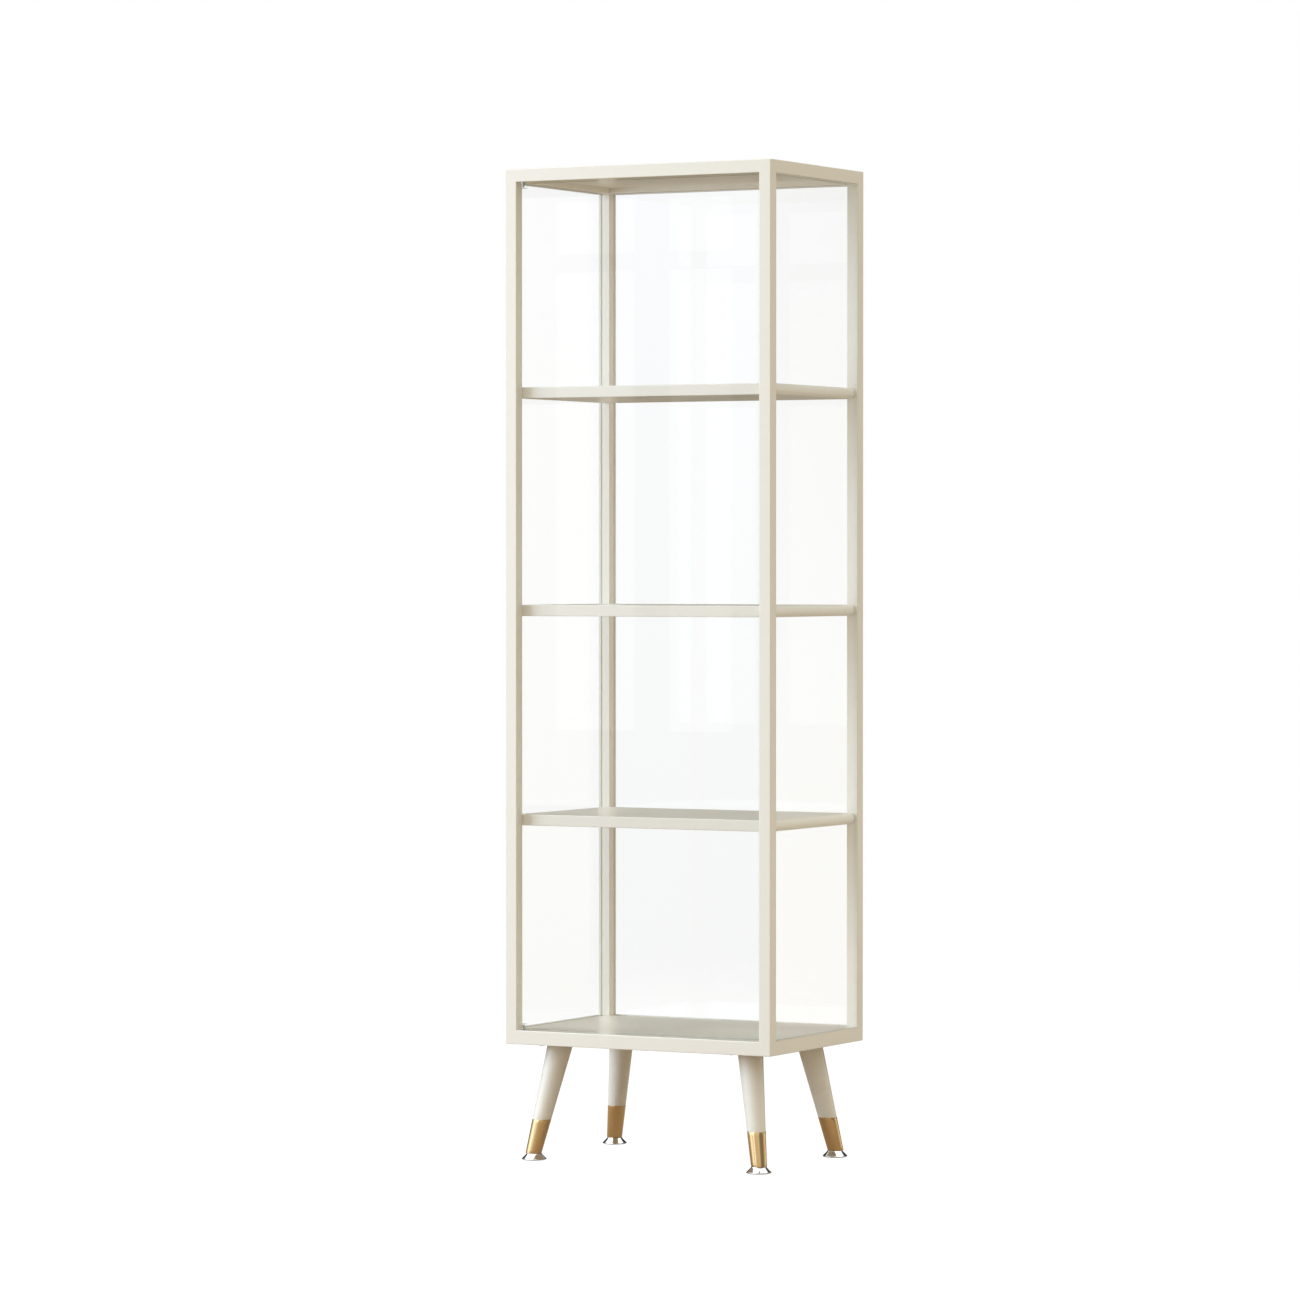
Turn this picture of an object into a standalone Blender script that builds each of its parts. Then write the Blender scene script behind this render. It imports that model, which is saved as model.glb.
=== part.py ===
"""Tower display case: a cream lacquered frame on splayed legs, glazed on four sides.

Metres, +Z up, origin on the floor under the middle of the case, front towards -Y.
The case stands on four swivel feet. A frameless glass door turns on two small
pivots at the left of the front and is held by a push latch in the middle shelf.
"""
import math

import bmesh
import bpy
from mathutils import Matrix, Vector

# ---------------------------------------------------------------- driving dimensions
CASE_W = 0.480            # outside width of the frame, along X
CASE_D = 0.330            # outside depth of the frame, along Y
CASE_H = 1.410            # height of the frame, without the legs
FLOOR_GAP = 0.188         # floor to the underside of the base board
POST = 0.020              # square section of the posts
BASE_T = 0.0225           # base board thickness
RAIL_H = 0.021            # height of the top rails
ARRIS = 0.0010            # rounding of the lacquered edges
FIT_GAP = 0.0003          # space left between two pieces that touch
OVER = 0.001              # how far a cutter or a joined piece runs past a face
MERGE = 0.00005           # points of the rounded frame closer than this are one

SHELF_T = 0.018
SHELF_UNDERSIDES = (0.5405, 0.8785, 1.2295)
SHELF_END_ROUND = 0.0086  # nearly a full bullnose on the two short ends
SHELF_ARRIS = 0.0012
SHELF_PANE_GAP = 0.0008   # shelf end to the inner face of the pane
LATCH_SHELF = 2           # number of the shelf that holds the latch

PANE_T = 0.004
PANE_ARRIS = 0.0004
SEAL_T = 0.0010
SEAL_RECESS = 0.0002      # sealant behind the outer face of the pane
DOOR_T = 0.006
DOOR_ARRIS = 0.0005
DOOR_SETBACK = 0.002      # door glass behind the front plane of the frame
DOOR_SIDE_GAP = 0.002
DOOR_END_GAP = 0.003
PIVOT_INSET = 0.010       # pivot axis from the inner face of the left post

PANEL_T = 0.012
PANEL_ARRIS = 0.0004
TONGUE_T = 0.005
TONGUE_L = 0.005
TONGUE_DROP = 0.0085      # top face of the panel to the underside of its tongue
TONGUE_INSET = 0.008      # the tongues stop this far from the inner corners of the rails

TENON = 0.010             # square section of the post tenons
TENON_L = 0.011
RAIL_TENON = (0.012, 0.008, 0.0055)   # width, length, height
RAIL_TENON_RISE = 0.0018  # rail tenon above the end of the post tenon

DOWEL_R = 0.003
DOWEL_L = 0.030
DOWEL_CHAMFER = 0.0006
DOWEL_INSET = 0.0145      # dowel to the outer side face of the frame

LEG_TOP_XY = (0.173, 0.103)     # where a leg's axis meets the base board
FOOT_XY = (0.2045, 0.1345)      # where it meets its foot
FOOT_AXIS_Z = 0.015             # height at which the axis passes the middle of the foot
LEG_TOP_R = 0.0204
FERRULE_Z = (0.0104, 0.0649)    # a ferrule's level ends
FERRULE_R = (0.0126, 0.0150)    # its outside radius at those ends
FERRULE_WALL = 0.0005
FERRULE_FLOOR = 0.0045
STEM_R = 0.003
STEM_Z = (0.0033, 0.0345)       # lower and upper end of the threaded stem
PAD_R = (0.0200, 0.0124)        # foot radius at the floor and at the top
PAD_H = 0.0101

PLATE = (0.056, 0.056, 0.0025)
PLATE_CORNER = 0.005      # radius of the plate's corners
SCREW_HOLE_R = 0.0021
SCREW_INSET = 0.0055      # screw holes from the edges of the plate
STUD_R = 0.004
STUD_L = 0.030
STUD_ROOT = 0.002         # stud starts this far below the base board, along the leg's axis

PIN_R = 0.002
PIN_L = 0.019
PIN_SEATED = 0.010        # length of pin in the frame
PIN_IN_BLOCK = 0.006
COLLAR_R = 0.0036
BLOCK = (0.014, 0.008, 0.0078)
BLOCK_ARRIS = 0.0005

LATCH_INSET = 0.0285      # latch to the outer side face of the frame
LATCH_R = 0.005
LATCH_L = 0.045
LATCH_FLANGE = 0.0012     # the flange stands this far out of the barrel and of the shelf edge
LATCH_FLOOR = 0.003
PLUNGER_R = 0.003
PLUNGER_L = 0.034
PLUNGER_CHAMFER = 0.0005
STRIKE_R = 0.006
STRIKE_T = 0.0010
SPRING_R = 0.0022         # middle of the latch spring's coil
SPRING_WIRE_R = 0.00025
SPRING_TURNS = 7
SPRING_POINTS = 8         # points in one turn of the spring

LEG_SIDES = 24            # sides of the turned legs and ferrules
PAD_SIDES = 32
STEM_SIDES = 14
ROD_SIDES = 12            # sides of dowels and of round holes
PIN_SIDES = 16
LATCH_SIDES = 20

# ---------------------------------------------------------------- places worked out
HALF_W, HALF_D = CASE_W / 2, CASE_D / 2
IN_W, IN_D = HALF_W - POST, HALF_D - POST
BASE_Z = FLOOR_GAP
BASE_TOP = BASE_Z + BASE_T
TOP_Z = BASE_Z + CASE_H
RAIL_Z = TOP_Z - RAIL_H
SIDES = {"left": -1, "right": 1}
ENDS = {"front": -1, "rear": 1}
DOOR_BACK = -HALF_D + DOOR_SETBACK + DOOR_T
DOWEL_X = HALF_W - DOWEL_INSET
LATCH_X = HALF_W - LATCH_INSET
PIVOT_X = -IN_W + PIVOT_INSET
PIVOT_Y = DOOR_BACK - DOOR_T / 2


def mm(value):
    return value / 1000


# ---------------------------------------------------------------- scene and materials
for leftover in list(bpy.data.objects):
    bpy.data.objects.remove(leftover, do_unlink=True)

parts = bpy.data.collections.new("tower_display_case")
cutters = bpy.data.collections.new("cutters")
bpy.context.scene.collection.children.link(parts)
bpy.context.scene.collection.children.link(cutters)


def material(name, color, roughness, metallic=0.0, alpha=1.0):
    made = bpy.data.materials.new(name)
    made.use_nodes = True
    shader = made.node_tree.nodes["Principled BSDF"]
    shader.inputs["Base Color"].default_value = (*color, 1.0)
    shader.inputs["Roughness"].default_value = roughness
    shader.inputs["Metallic"].default_value = metallic
    shader.inputs["Alpha"].default_value = alpha
    return made


LACQUER = ((0.80, 0.75, 0.65), 0.38)
LOOKS = {
    "post": LACQUER, "top_rail": LACQUER, "base_board": LACQUER, "top_panel": LACQUER,
    "shelf": LACQUER, "leg": LACQUER, "strike": LACQUER, "seal": ((0.80, 0.75, 0.65), 0.50),
    "glass": ((0.90, 0.95, 0.94), 0.03, 0.0, 0.25), "hinge_block": ((0.93, 0.94, 0.94), 0.08, 0.0, 0.35),
    "dowel": ((0.72, 0.55, 0.36), 0.70), "ferrule": ((0.80, 0.58, 0.28), 0.22, 1.0),
    "foot_stem": ((0.60, 0.60, 0.61), 0.35, 1.0), "foot_pad": ((0.85, 0.85, 0.86), 0.12, 1.0),
    "leg_plate": ((0.55, 0.55, 0.56), 0.40, 1.0), "hinge_pin": ((0.62, 0.62, 0.63), 0.25, 1.0),
    "latch": ((0.85, 0.84, 0.80), 0.45),
}


# ---------------------------------------------------------------- building blocks
def place(name, mesh, look, location=(0, 0, 0), parent=None):
    """Add one named sub-part with its own material."""
    obj = bpy.data.objects.new(name, mesh)
    obj.location = location
    obj.parent = parent
    parts.objects.link(obj)
    mesh.materials.clear()
    mesh.materials.append(material(name, *LOOKS[look]))
    return obj


def guide(name, mesh, location=(0, 0, 0), parent=None):
    """Add a cutter or a blank, which is no piece of the case."""
    obj = bpy.data.objects.new(name, mesh)
    obj.location = location
    obj.parent = parent
    obj.hide_render = True
    obj.display_type = "WIRE"
    cutters.objects.link(obj)
    return obj


def box_mesh(name, size):
    mesh = bpy.data.meshes.new(name)
    bm = bmesh.new()
    bmesh.ops.create_cube(bm, size=1.0)
    bmesh.ops.scale(bm, vec=Vector(size), verts=bm.verts)
    bm.to_mesh(mesh)
    bm.free()
    return mesh


def box_between(name, low, high, make, **keywords):
    """A box given by its lowest and highest corners; make is place or guide."""
    low, high = Vector(low), Vector(high)
    return make(name, box_mesh(name, high - low), location=(low + high) / 2, **keywords)


def rod_mesh(name, radius, length, sides, chamfer=0.0):
    """A rod along Z from 0 to length, with chamfered ends if asked."""
    mesh = bpy.data.meshes.new(name)
    bm = bmesh.new()
    bmesh.ops.create_cone(bm, cap_ends=True, segments=sides, radius1=radius,
                          radius2=radius, depth=length)
    bmesh.ops.translate(bm, vec=(0, 0, length / 2), verts=bm.verts)
    if chamfer:
        rims = [edge for edge in bm.edges if abs(edge.verts[0].co.z - edge.verts[1].co.z) < chamfer]
        bmesh.ops.bevel(bm, geom=rims, offset=chamfer, segments=1, affect="EDGES")
    bm.to_mesh(mesh)
    bm.free()
    smooth(mesh)
    return mesh


def smooth(mesh, degrees=35):
    mesh.shade_smooth()
    mesh.set_sharp_from_angle(angle=math.radians(degrees))


def turned_mesh(name, profile):
    """The half section of a turned piece as (radius, height) pairs, outer side first."""
    mesh = bpy.data.meshes.new(name)
    points = [(radius, 0, height) for radius, height in profile]
    mesh.from_pydata(points, [(i, i + 1) for i in range(len(points) - 1)], [])
    return mesh


def turn(obj, steps):
    screw = obj.modifiers.new("turned", "SCREW")
    screw.axis = "Z"
    screw.steps = steps
    screw.render_steps = steps
    screw.use_merge_vertices = True
    screw.merge_threshold = 0.00001
    return obj


def bevel(obj, width, segments=2):
    edge = obj.modifiers.new("arris", "BEVEL")
    edge.width = width
    edge.segments = segments
    edge.limit_method = "ANGLE"
    edge.angle_limit = math.radians(40)
    return obj


def combine(obj, other, operation):
    step = obj.modifiers.new(operation.lower(), "BOOLEAN")
    step.operation = operation
    step.object = other
    step.solver = "EXACT"
    return obj


def cut(obj, cutter):
    return combine(obj, cutter, "DIFFERENCE")


def add(obj, other):
    return combine(obj, other, "UNION")


def merge_slivers(obj):
    """Join the points that lie closer together than any real edge."""
    merge = obj.modifiers.new("merge", "WELD")
    merge.merge_threshold = MERGE
    return obj


def cut_rod(name, radius, length, start, direction, sides=ROD_SIDES, parent=None):
    """A round cutter that starts at a point and runs along a direction."""
    obj = guide(name, rod_mesh(name, radius, length, sides), location=start, parent=parent)
    obj.rotation_euler = Vector(direction).to_track_quat("Z", "Y").to_euler()
    return obj


# ---------------------------------------------------------------- frame
def frame_blank():
    """The whole outline of the frame, rounded as one piece, which its members are cut from."""
    blank = box_between("frame_blank", (-HALF_W, -HALF_D, BASE_Z), (HALF_W, HALF_D, TOP_Z), guide)
    over = 0.05
    openings = {
        "through_front": ((-IN_W, -HALF_D - over, BASE_TOP), (IN_W, HALF_D + over, RAIL_Z)),
        "through_sides": ((-HALF_W - over, -IN_D, BASE_TOP), (HALF_W + over, IN_D, RAIL_Z)),
        "inside_rails": ((-IN_W, -IN_D, RAIL_Z - over), (IN_W, IN_D, TOP_Z + over)),
    }
    for name, (low, high) in openings.items():
        cut(blank, box_between(name, low, high, guide))
    return bevel(blank, ARRIS)


def tenon_at(name, x, y, z, height, extra=0.0):
    """A square post tenon, or the mortise for it when extra is set."""
    half = (TENON + extra) / 2
    return box_between(name, (x - half, y - half, z), (x + half, y + half, z + height), guide)


def rail_tenon_at(name, side, end, extra=0.0):
    width, length, height = RAIL_TENON
    half = (width + extra) / 2
    middle = side * (HALF_W - POST / 2)
    root = end * (IN_D - OVER)
    tip = end * (IN_D + length + extra / 2)
    low_z = RAIL_Z + TENON_L + RAIL_TENON_RISE - extra / 2
    return box_between(name, (middle - half, min(root, tip), low_z),
                       (middle + half, max(root, tip), low_z + height + extra), guide)


def panel_tongue(name, along_x, extra=0.0):
    """The thin edge of the top panel that reaches into the rails, or the groove for it."""
    reach = TONGUE_L + extra / 2
    if along_x:
        half_x, half_y = IN_W + reach, IN_D - TONGUE_INSET + extra / 2
    else:
        half_x, half_y = IN_W - TONGUE_INSET + extra / 2, IN_D + reach
    low_z = TOP_Z - TONGUE_DROP - extra / 2
    return box_between(name, (-half_x, -half_y, low_z),
                       (half_x, half_y, low_z + TONGUE_T + extra), guide)


def build_posts(blank):
    for end, y_sign in ENDS.items():
        for side, x_sign in SIDES.items():
            name = f"post_{end}_{side}"
            x, y = x_sign * (HALF_W - POST / 2), y_sign * (HALF_D - POST / 2)
            xs = sorted((x_sign * (IN_W - OVER), x_sign * (HALF_W + OVER)))
            ys = sorted((y_sign * (IN_D - OVER), y_sign * (HALF_D + OVER)))
            post = box_between(name, (xs[0], ys[0], BASE_TOP + FIT_GAP / 2),
                               (xs[1], ys[1], RAIL_Z - FIT_GAP / 2), place, look="post")
            combine(post, blank, "INTERSECT")
            add(post, tenon_at(f"{name}_foot_tenon", x, y, BASE_TOP - TENON_L, TENON_L + OVER))
            add(post, tenon_at(f"{name}_head_tenon", x, y, RAIL_Z - OVER, TENON_L + OVER))
            for number, underside in enumerate(SHELF_UNDERSIDES, start=1):
                height = underside + SHELF_T / 2
                start = (x_sign * DOWEL_X, y_sign * (IN_D - OVER), height)
                cut(post, cut_rod(f"{name}_dowel_hole_{number}", DOWEL_R + FIT_GAP,
                                  DOWEL_L / 2 + OVER + FIT_GAP, start, (0, y_sign, 0)))


def build_top(blank):
    grooves = [panel_tongue("groove_sides", True, 2 * FIT_GAP),
               panel_tongue("groove_ends", False, 2 * FIT_GAP)]
    for end, y_sign in ENDS.items():
        edges = sorted((y_sign * IN_D, y_sign * (HALF_D + OVER)))
        rail = box_between(f"top_rail_{end}", (-HALF_W - OVER, edges[0], RAIL_Z + FIT_GAP / 2),
                           (HALF_W + OVER, edges[1], TOP_Z + OVER), place, look="top_rail")
        combine(rail, blank, "INTERSECT")
        cut(rail, grooves[1])
        for side, x_sign in SIDES.items():
            cut(rail, tenon_at(f"mortise_head_{end}_{side}", x_sign * (HALF_W - POST / 2),
                               y_sign * (HALF_D - POST / 2), RAIL_Z - OVER,
                               TENON_L + OVER + FIT_GAP, 2 * FIT_GAP))
            cut(rail, rail_tenon_at(f"mortise_rail_{end}_{side}", x_sign, y_sign, 2 * FIT_GAP))
    for side, x_sign in SIDES.items():
        edges = sorted((x_sign * IN_W, x_sign * (HALF_W + OVER)))
        rail = box_between(f"top_rail_{side}", (edges[0], -IN_D + FIT_GAP, RAIL_Z),
                           (edges[1], IN_D - FIT_GAP, TOP_Z + OVER), place, look="top_rail")
        combine(rail, blank, "INTERSECT")
        cut(rail, grooves[0])
        for end, y_sign in ENDS.items():
            add(rail, rail_tenon_at(f"tenon_rail_{end}_{side}", x_sign, y_sign))
    panel = box_between("top_panel", (-IN_W + FIT_GAP, -IN_D + FIT_GAP, TOP_Z - PANEL_T),
                        (IN_W - FIT_GAP, IN_D - FIT_GAP, TOP_Z), place, look="top_panel")
    bevel(panel, PANEL_ARRIS, 1)
    add(panel, panel_tongue("tongue_sides", True))
    add(panel, panel_tongue("tongue_ends", False))


def build_base(blank):
    base = box_between("base_board", (-HALF_W - OVER, -HALF_D - OVER, BASE_Z - OVER),
                       (HALF_W + OVER, HALF_D + OVER, BASE_TOP), place, look="base_board")
    combine(base, blank, "INTERSECT")
    for end, y_sign in ENDS.items():
        for side, x_sign in SIDES.items():
            cut(base, tenon_at(f"mortise_foot_{end}_{side}", x_sign * (HALF_W - POST / 2),
                               y_sign * (HALF_D - POST / 2), BASE_TOP - TENON_L - FIT_GAP,
                               TENON_L + 2 * OVER, 2 * FIT_GAP))
    return merge_slivers(base)


# ---------------------------------------------------------------- shelves
def shelf_mesh(name):
    """A board with rounded left and right ends and a small arris along front and rear."""
    half_x = HALF_W - PANE_T - SHELF_PANE_GAP
    half_y = IN_D - FIT_GAP
    mesh = box_mesh(name, (2 * half_x, 2 * half_y, SHELF_T))
    bm = bmesh.new()
    bm.from_mesh(mesh)
    ends = [edge for edge in bm.edges
            if all(abs(abs(v.co.x) - half_x) < MERGE for v in edge.verts)
            and abs(edge.verts[0].co.y - edge.verts[1].co.y) > half_y]
    bmesh.ops.bevel(bm, geom=ends, offset=SHELF_END_ROUND, segments=5, profile=0.5, affect="EDGES")
    outline = [edge for edge in bm.edges
               if all(abs(abs(v.co.y) - half_y) < MERGE for v in edge.verts)
               and edge.verts[0].co.y * edge.verts[1].co.y > 0
               and edge.calc_face_angle(0) > math.radians(60)]
    bmesh.ops.bevel(bm, geom=outline, offset=SHELF_ARRIS, segments=2, profile=0.5, affect="EDGES")
    bm.to_mesh(mesh)
    bm.free()
    smooth(mesh, 25)
    return mesh


def build_shelves():
    for number, underside in enumerate(SHELF_UNDERSIDES, start=1):
        name = f"shelf_{number}"
        middle = underside + SHELF_T / 2
        shelf = place(name, shelf_mesh(name), "shelf", location=(0, 0, middle))
        for end, y_sign in ENDS.items():
            for side, x_sign in SIDES.items():
                x = x_sign * DOWEL_X
                cut(shelf, cut_rod(f"{name}_hole_{end}_{side}", DOWEL_R + FIT_GAP,
                                   DOWEL_L / 2 + 2 * OVER, (x, y_sign * (IN_D + OVER), middle),
                                   (0, -y_sign, 0)))
                mesh = rod_mesh("dowel", DOWEL_R, DOWEL_L, ROD_SIDES, DOWEL_CHAMFER)
                dowel = place(f"dowel_{number}_{end}_{side}", mesh, "dowel",
                              location=(x, y_sign * (IN_D - DOWEL_L / 2), middle))
                dowel.rotation_euler = Vector((0, y_sign, 0)).to_track_quat("Z", "Y").to_euler()


# ---------------------------------------------------------------- fixed glazing
def build_panes():
    """Three panes bonded flush into their openings, each inside a ring of cream sealant."""
    seal_out = FIT_GAP
    seal_in = FIT_GAP + SEAL_T
    edge = seal_in + FIT_GAP
    openings = {"left": ("x", -1), "right": ("x", 1), "rear": ("y", 1)}
    for side, (normal, sign) in openings.items():
        half = IN_D if normal == "x" else IN_W
        outer = (HALF_W if normal == "x" else HALF_D) - FIT_GAP

        def corners(inset, depth_from, depth_to):
            near, far = sorted((sign * depth_from, sign * depth_to))
            low, high = BASE_TOP + inset, RAIL_Z - inset
            if normal == "x":
                return (near, -half + inset, low), (far, half - inset, high)
            return (-half + inset, near, low), (half - inset, far, high)

        pane = box_between(f"glass_{side}", *corners(edge, outer - PANE_T, outer),
                           place, look="glass")
        bevel(pane, PANE_ARRIS, 1)
        seal = box_between(f"seal_{side}", *corners(seal_out, outer - PANE_T, outer - SEAL_RECESS),
                           place, look="seal")
        cut(seal, box_between(f"seal_hole_{side}",
                              *corners(seal_in, outer - 2 * PANE_T, outer + PANE_T), guide))


# ---------------------------------------------------------------- door, pivots and latch
def build_door(base):
    """A frameless glass door whose notched corners hold the two pivot blocks."""
    low_z, high_z = BASE_TOP + DOOR_END_GAP, RAIL_Z - DOOR_END_GAP
    left, right = -IN_W + DOOR_SIDE_GAP, IN_W - DOOR_SIDE_GAP
    swing = bpy.data.objects.new("door_axis", None)
    swing.location = (PIVOT_X, PIVOT_Y, 0)
    parts.objects.link(swing)

    def on_door(name, low, high, make, **keywords):
        obj = box_between(name, low, high, make, **keywords)
        obj.location -= swing.location
        obj.parent = swing
        return obj

    glass = on_door("door_glass", (left, DOOR_BACK - DOOR_T, low_z), (right, DOOR_BACK, high_z),
                    place, look="glass")
    bevel(glass, DOOR_ARRIS, 1)
    block_x, block_y, block_z = BLOCK
    rail = bpy.data.objects["top_rail_front"]
    for level, face, up in (("lower", low_z, 1), ("upper", high_z, -1)):
        z_far = face + up * block_z
        z_low, z_high = sorted((face, z_far))
        x_low, x_high = PIVOT_X - block_x / 2, PIVOT_X + block_x / 2
        notch_low, notch_high = sorted((face - up * OVER, z_far + up * FIT_GAP))
        cut(glass, on_door(f"notch_{level}", (left - OVER, PIVOT_Y - DOOR_T, notch_low),
                           (x_high + FIT_GAP, PIVOT_Y + DOOR_T, notch_high), guide))
        block = on_door(f"hinge_block_{level}", (x_low, PIVOT_Y - block_y / 2, z_low),
                        (x_high, PIVOT_Y + block_y / 2, z_high), place, look="hinge_block")
        bevel(block, BLOCK_ARRIS, 1)
        seat = face - up * DOOR_END_GAP
        pin_end = seat - up * PIN_SEATED
        cut(block, cut_rod(f"pin_hole_{level}", PIN_R + FIT_GAP, DOOR_END_GAP + PIN_IN_BLOCK + FIT_GAP,
                           (PIVOT_X, PIVOT_Y, seat), (0, 0, up)))
        cut(base if up > 0 else rail,
            cut_rod(f"pin_seat_{level}", PIN_R + FIT_GAP, PIN_SEATED + 2 * OVER,
                    (PIVOT_X, PIVOT_Y, seat + up * OVER), (0, 0, -up)))
        collar_low, collar_high = PIN_SEATED + FIT_GAP, PIN_SEATED + DOOR_END_GAP - FIT_GAP
        profile = [(0, 0), (PIN_R, 0), (PIN_R, collar_low), (COLLAR_R, collar_low),
                   (COLLAR_R, collar_high), (PIN_R, collar_high), (PIN_R, PIN_L), (0, PIN_L)]
        pin = place(f"hinge_pin_{level}", turned_mesh("hinge_pin", profile[::-1]), "hinge_pin",
                    location=(PIVOT_X, PIVOT_Y, pin_end))
        if up < 0:
            pin.rotation_euler = (math.pi, 0, 0)
        turn(pin, PIN_SIDES)
    return swing


def build_latch(swing):
    """A push latch let into the front edge of one shelf, and its strike on the door."""
    shelf = bpy.data.objects[f"shelf_{LATCH_SHELF}"]
    height = SHELF_UNDERSIDES[LATCH_SHELF - 1] + SHELF_T / 2
    edge_y = -IN_D + FIT_GAP
    cut(shelf, cut_rod("latch_bore", LATCH_R + FIT_GAP, LATCH_L + 2 * OVER,
                       (LATCH_X, edge_y - OVER, height), (0, 1, 0), LATCH_SIDES))
    flange_r, bore_r, floor = LATCH_R + LATCH_FLANGE, PLUNGER_R + FIT_GAP, LATCH_L - LATCH_FLOOR
    profile = [(bore_r, -LATCH_FLANGE), (flange_r, -LATCH_FLANGE), (flange_r, -FIT_GAP),
               (LATCH_R, -FIT_GAP), (LATCH_R, LATCH_L), (0, LATCH_L), (0, floor), (bore_r, floor),
               (bore_r, -LATCH_FLANGE)]
    body = place("latch_body", turned_mesh("latch_body", profile[::-1]), "latch",
                 location=(LATCH_X, edge_y, height))
    body.rotation_euler = (-math.pi / 2, 0, 0)
    turn(body, LATCH_SIDES)
    strike_y = DOOR_BACK + FIT_GAP
    tip_y = strike_y + STRIKE_T + FIT_GAP
    rod = rod_mesh("latch_plunger", PLUNGER_R, PLUNGER_L, LATCH_SIDES, PLUNGER_CHAMFER)
    plunger = place("latch_plunger", rod, "latch", location=(LATCH_X, tip_y, height))
    plunger.rotation_euler = (-math.pi / 2, 0, 0)
    build_spring(tip_y + PLUNGER_L + FIT_GAP, edge_y + floor - FIT_GAP, height)
    strike = place("latch_strike", rod_mesh("latch_strike", STRIKE_R, STRIKE_T, LATCH_SIDES), "strike",
                   location=Vector((LATCH_X, strike_y, height)) - swing.location, parent=swing)
    strike.rotation_euler = (-math.pi / 2, 0, 0)


def build_spring(front_y, rear_y, height):
    """Coil spring behind the plunger, along Y between two faces."""
    count = SPRING_TURNS * SPRING_POINTS
    first, last = front_y + SPRING_WIRE_R, rear_y - SPRING_WIRE_R
    coil = bpy.data.curves.new("latch_spring", "CURVE")
    coil.dimensions = "3D"
    coil.bevel_depth = SPRING_WIRE_R
    coil.bevel_resolution = 2
    coil.use_fill_caps = True
    coil.render_resolution_u = 0
    spline = coil.splines.new("POLY")
    spline.points.add(count)
    for i, point in enumerate(spline.points):
        angle = 2 * math.pi * i / SPRING_POINTS
        point.co = (LATCH_X + SPRING_R * math.cos(angle), first + (last - first) * i / count,
                    height + SPRING_R * math.sin(angle), 1)
    coil.materials.append(material("latch_spring", *LOOKS["foot_stem"]))
    parts.objects.link(bpy.data.objects.new("latch_spring", coil))


# ---------------------------------------------------------------- legs and feet
def leg_axis(name, x_sign, y_sign):
    """An empty at the middle of a foot, with +Z up the splayed leg."""
    foot = Vector((x_sign * FOOT_XY[0], y_sign * FOOT_XY[1], FOOT_AXIS_Z))
    top = Vector((x_sign * LEG_TOP_XY[0], y_sign * LEG_TOP_XY[1], BASE_Z))
    axis = bpy.data.objects.new(name, None)
    turn_to_leg = (top - foot).to_track_quat("Z", "Y")
    axis.matrix_world = Matrix.Translation(foot) @ turn_to_leg.to_matrix().to_4x4()
    parts.objects.link(axis)
    return axis


def axis_heights():
    """Distances along a leg's axis from its empty: ferrule ends and base board."""
    foot = Vector((*FOOT_XY, FOOT_AXIS_Z))
    top = Vector((*LEG_TOP_XY, BASE_Z))
    length = (top - foot).length
    per_height = length / (BASE_Z - FOOT_AXIS_Z)
    low, high = ((z - FOOT_AXIS_Z) * per_height for z in FERRULE_Z)
    return low, high, length


def ferrule_radius(at, low, high):
    return FERRULE_R[0] + (FERRULE_R[1] - FERRULE_R[0]) * (at - low) / (high - low)


def leg_profile(low, high, length):
    """Wooden leg: a straight taper that runs on down inside the ferrule."""
    under_wall = FERRULE_WALL + FIT_GAP
    bottom = low + FERRULE_FLOOR + FIT_GAP
    high_r = ferrule_radius(high, low, high) - under_wall
    bottom_r = ferrule_radius(bottom, low, high) - under_wall
    over = mm(9)
    top_r = LEG_TOP_R + (LEG_TOP_R - high_r) * over / (length - high)
    return [(0, length + over), (top_r, length + over), (high_r, high), (bottom_r, bottom), (0, bottom)]


def ferrule_profile(low, high):
    """Thin brass cup, made too long at both ends and then cut off level."""
    over = mm(6)
    top, bottom, floor = high + over, low - over, low + FERRULE_FLOOR
    return [(0, floor), (ferrule_radius(floor, low, high) - FERRULE_WALL, floor),
            (ferrule_radius(top, low, high) - FERRULE_WALL, top), (ferrule_radius(top, low, high), top),
            (ferrule_radius(bottom, low, high), bottom), (0, bottom)]


def stem_profile():
    """Threaded stem with chamfered ends."""
    low, high = STEM_Z
    chamfer = mm(0.6)
    return [(0, high), (STEM_R - chamfer, high), (STEM_R, high - chamfer), (STEM_R, low + chamfer),
            (STEM_R - chamfer, low), (0, low)]


def pad_profile():
    """Conical foot with a thin rim and a socket for the stem."""
    floor_r, top_r = PAD_R
    rim, soft = mm(0.9), mm(0.4)
    socket_r, socket_z = STEM_R + FIT_GAP, STEM_Z[0] - FIT_GAP
    return [(0, socket_z), (socket_r, socket_z), (socket_r, PAD_H), (top_r - soft, PAD_H),
            (top_r, PAD_H - soft), (floor_r, rim), (floor_r, soft), (floor_r - soft, 0), (0, 0)]


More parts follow.
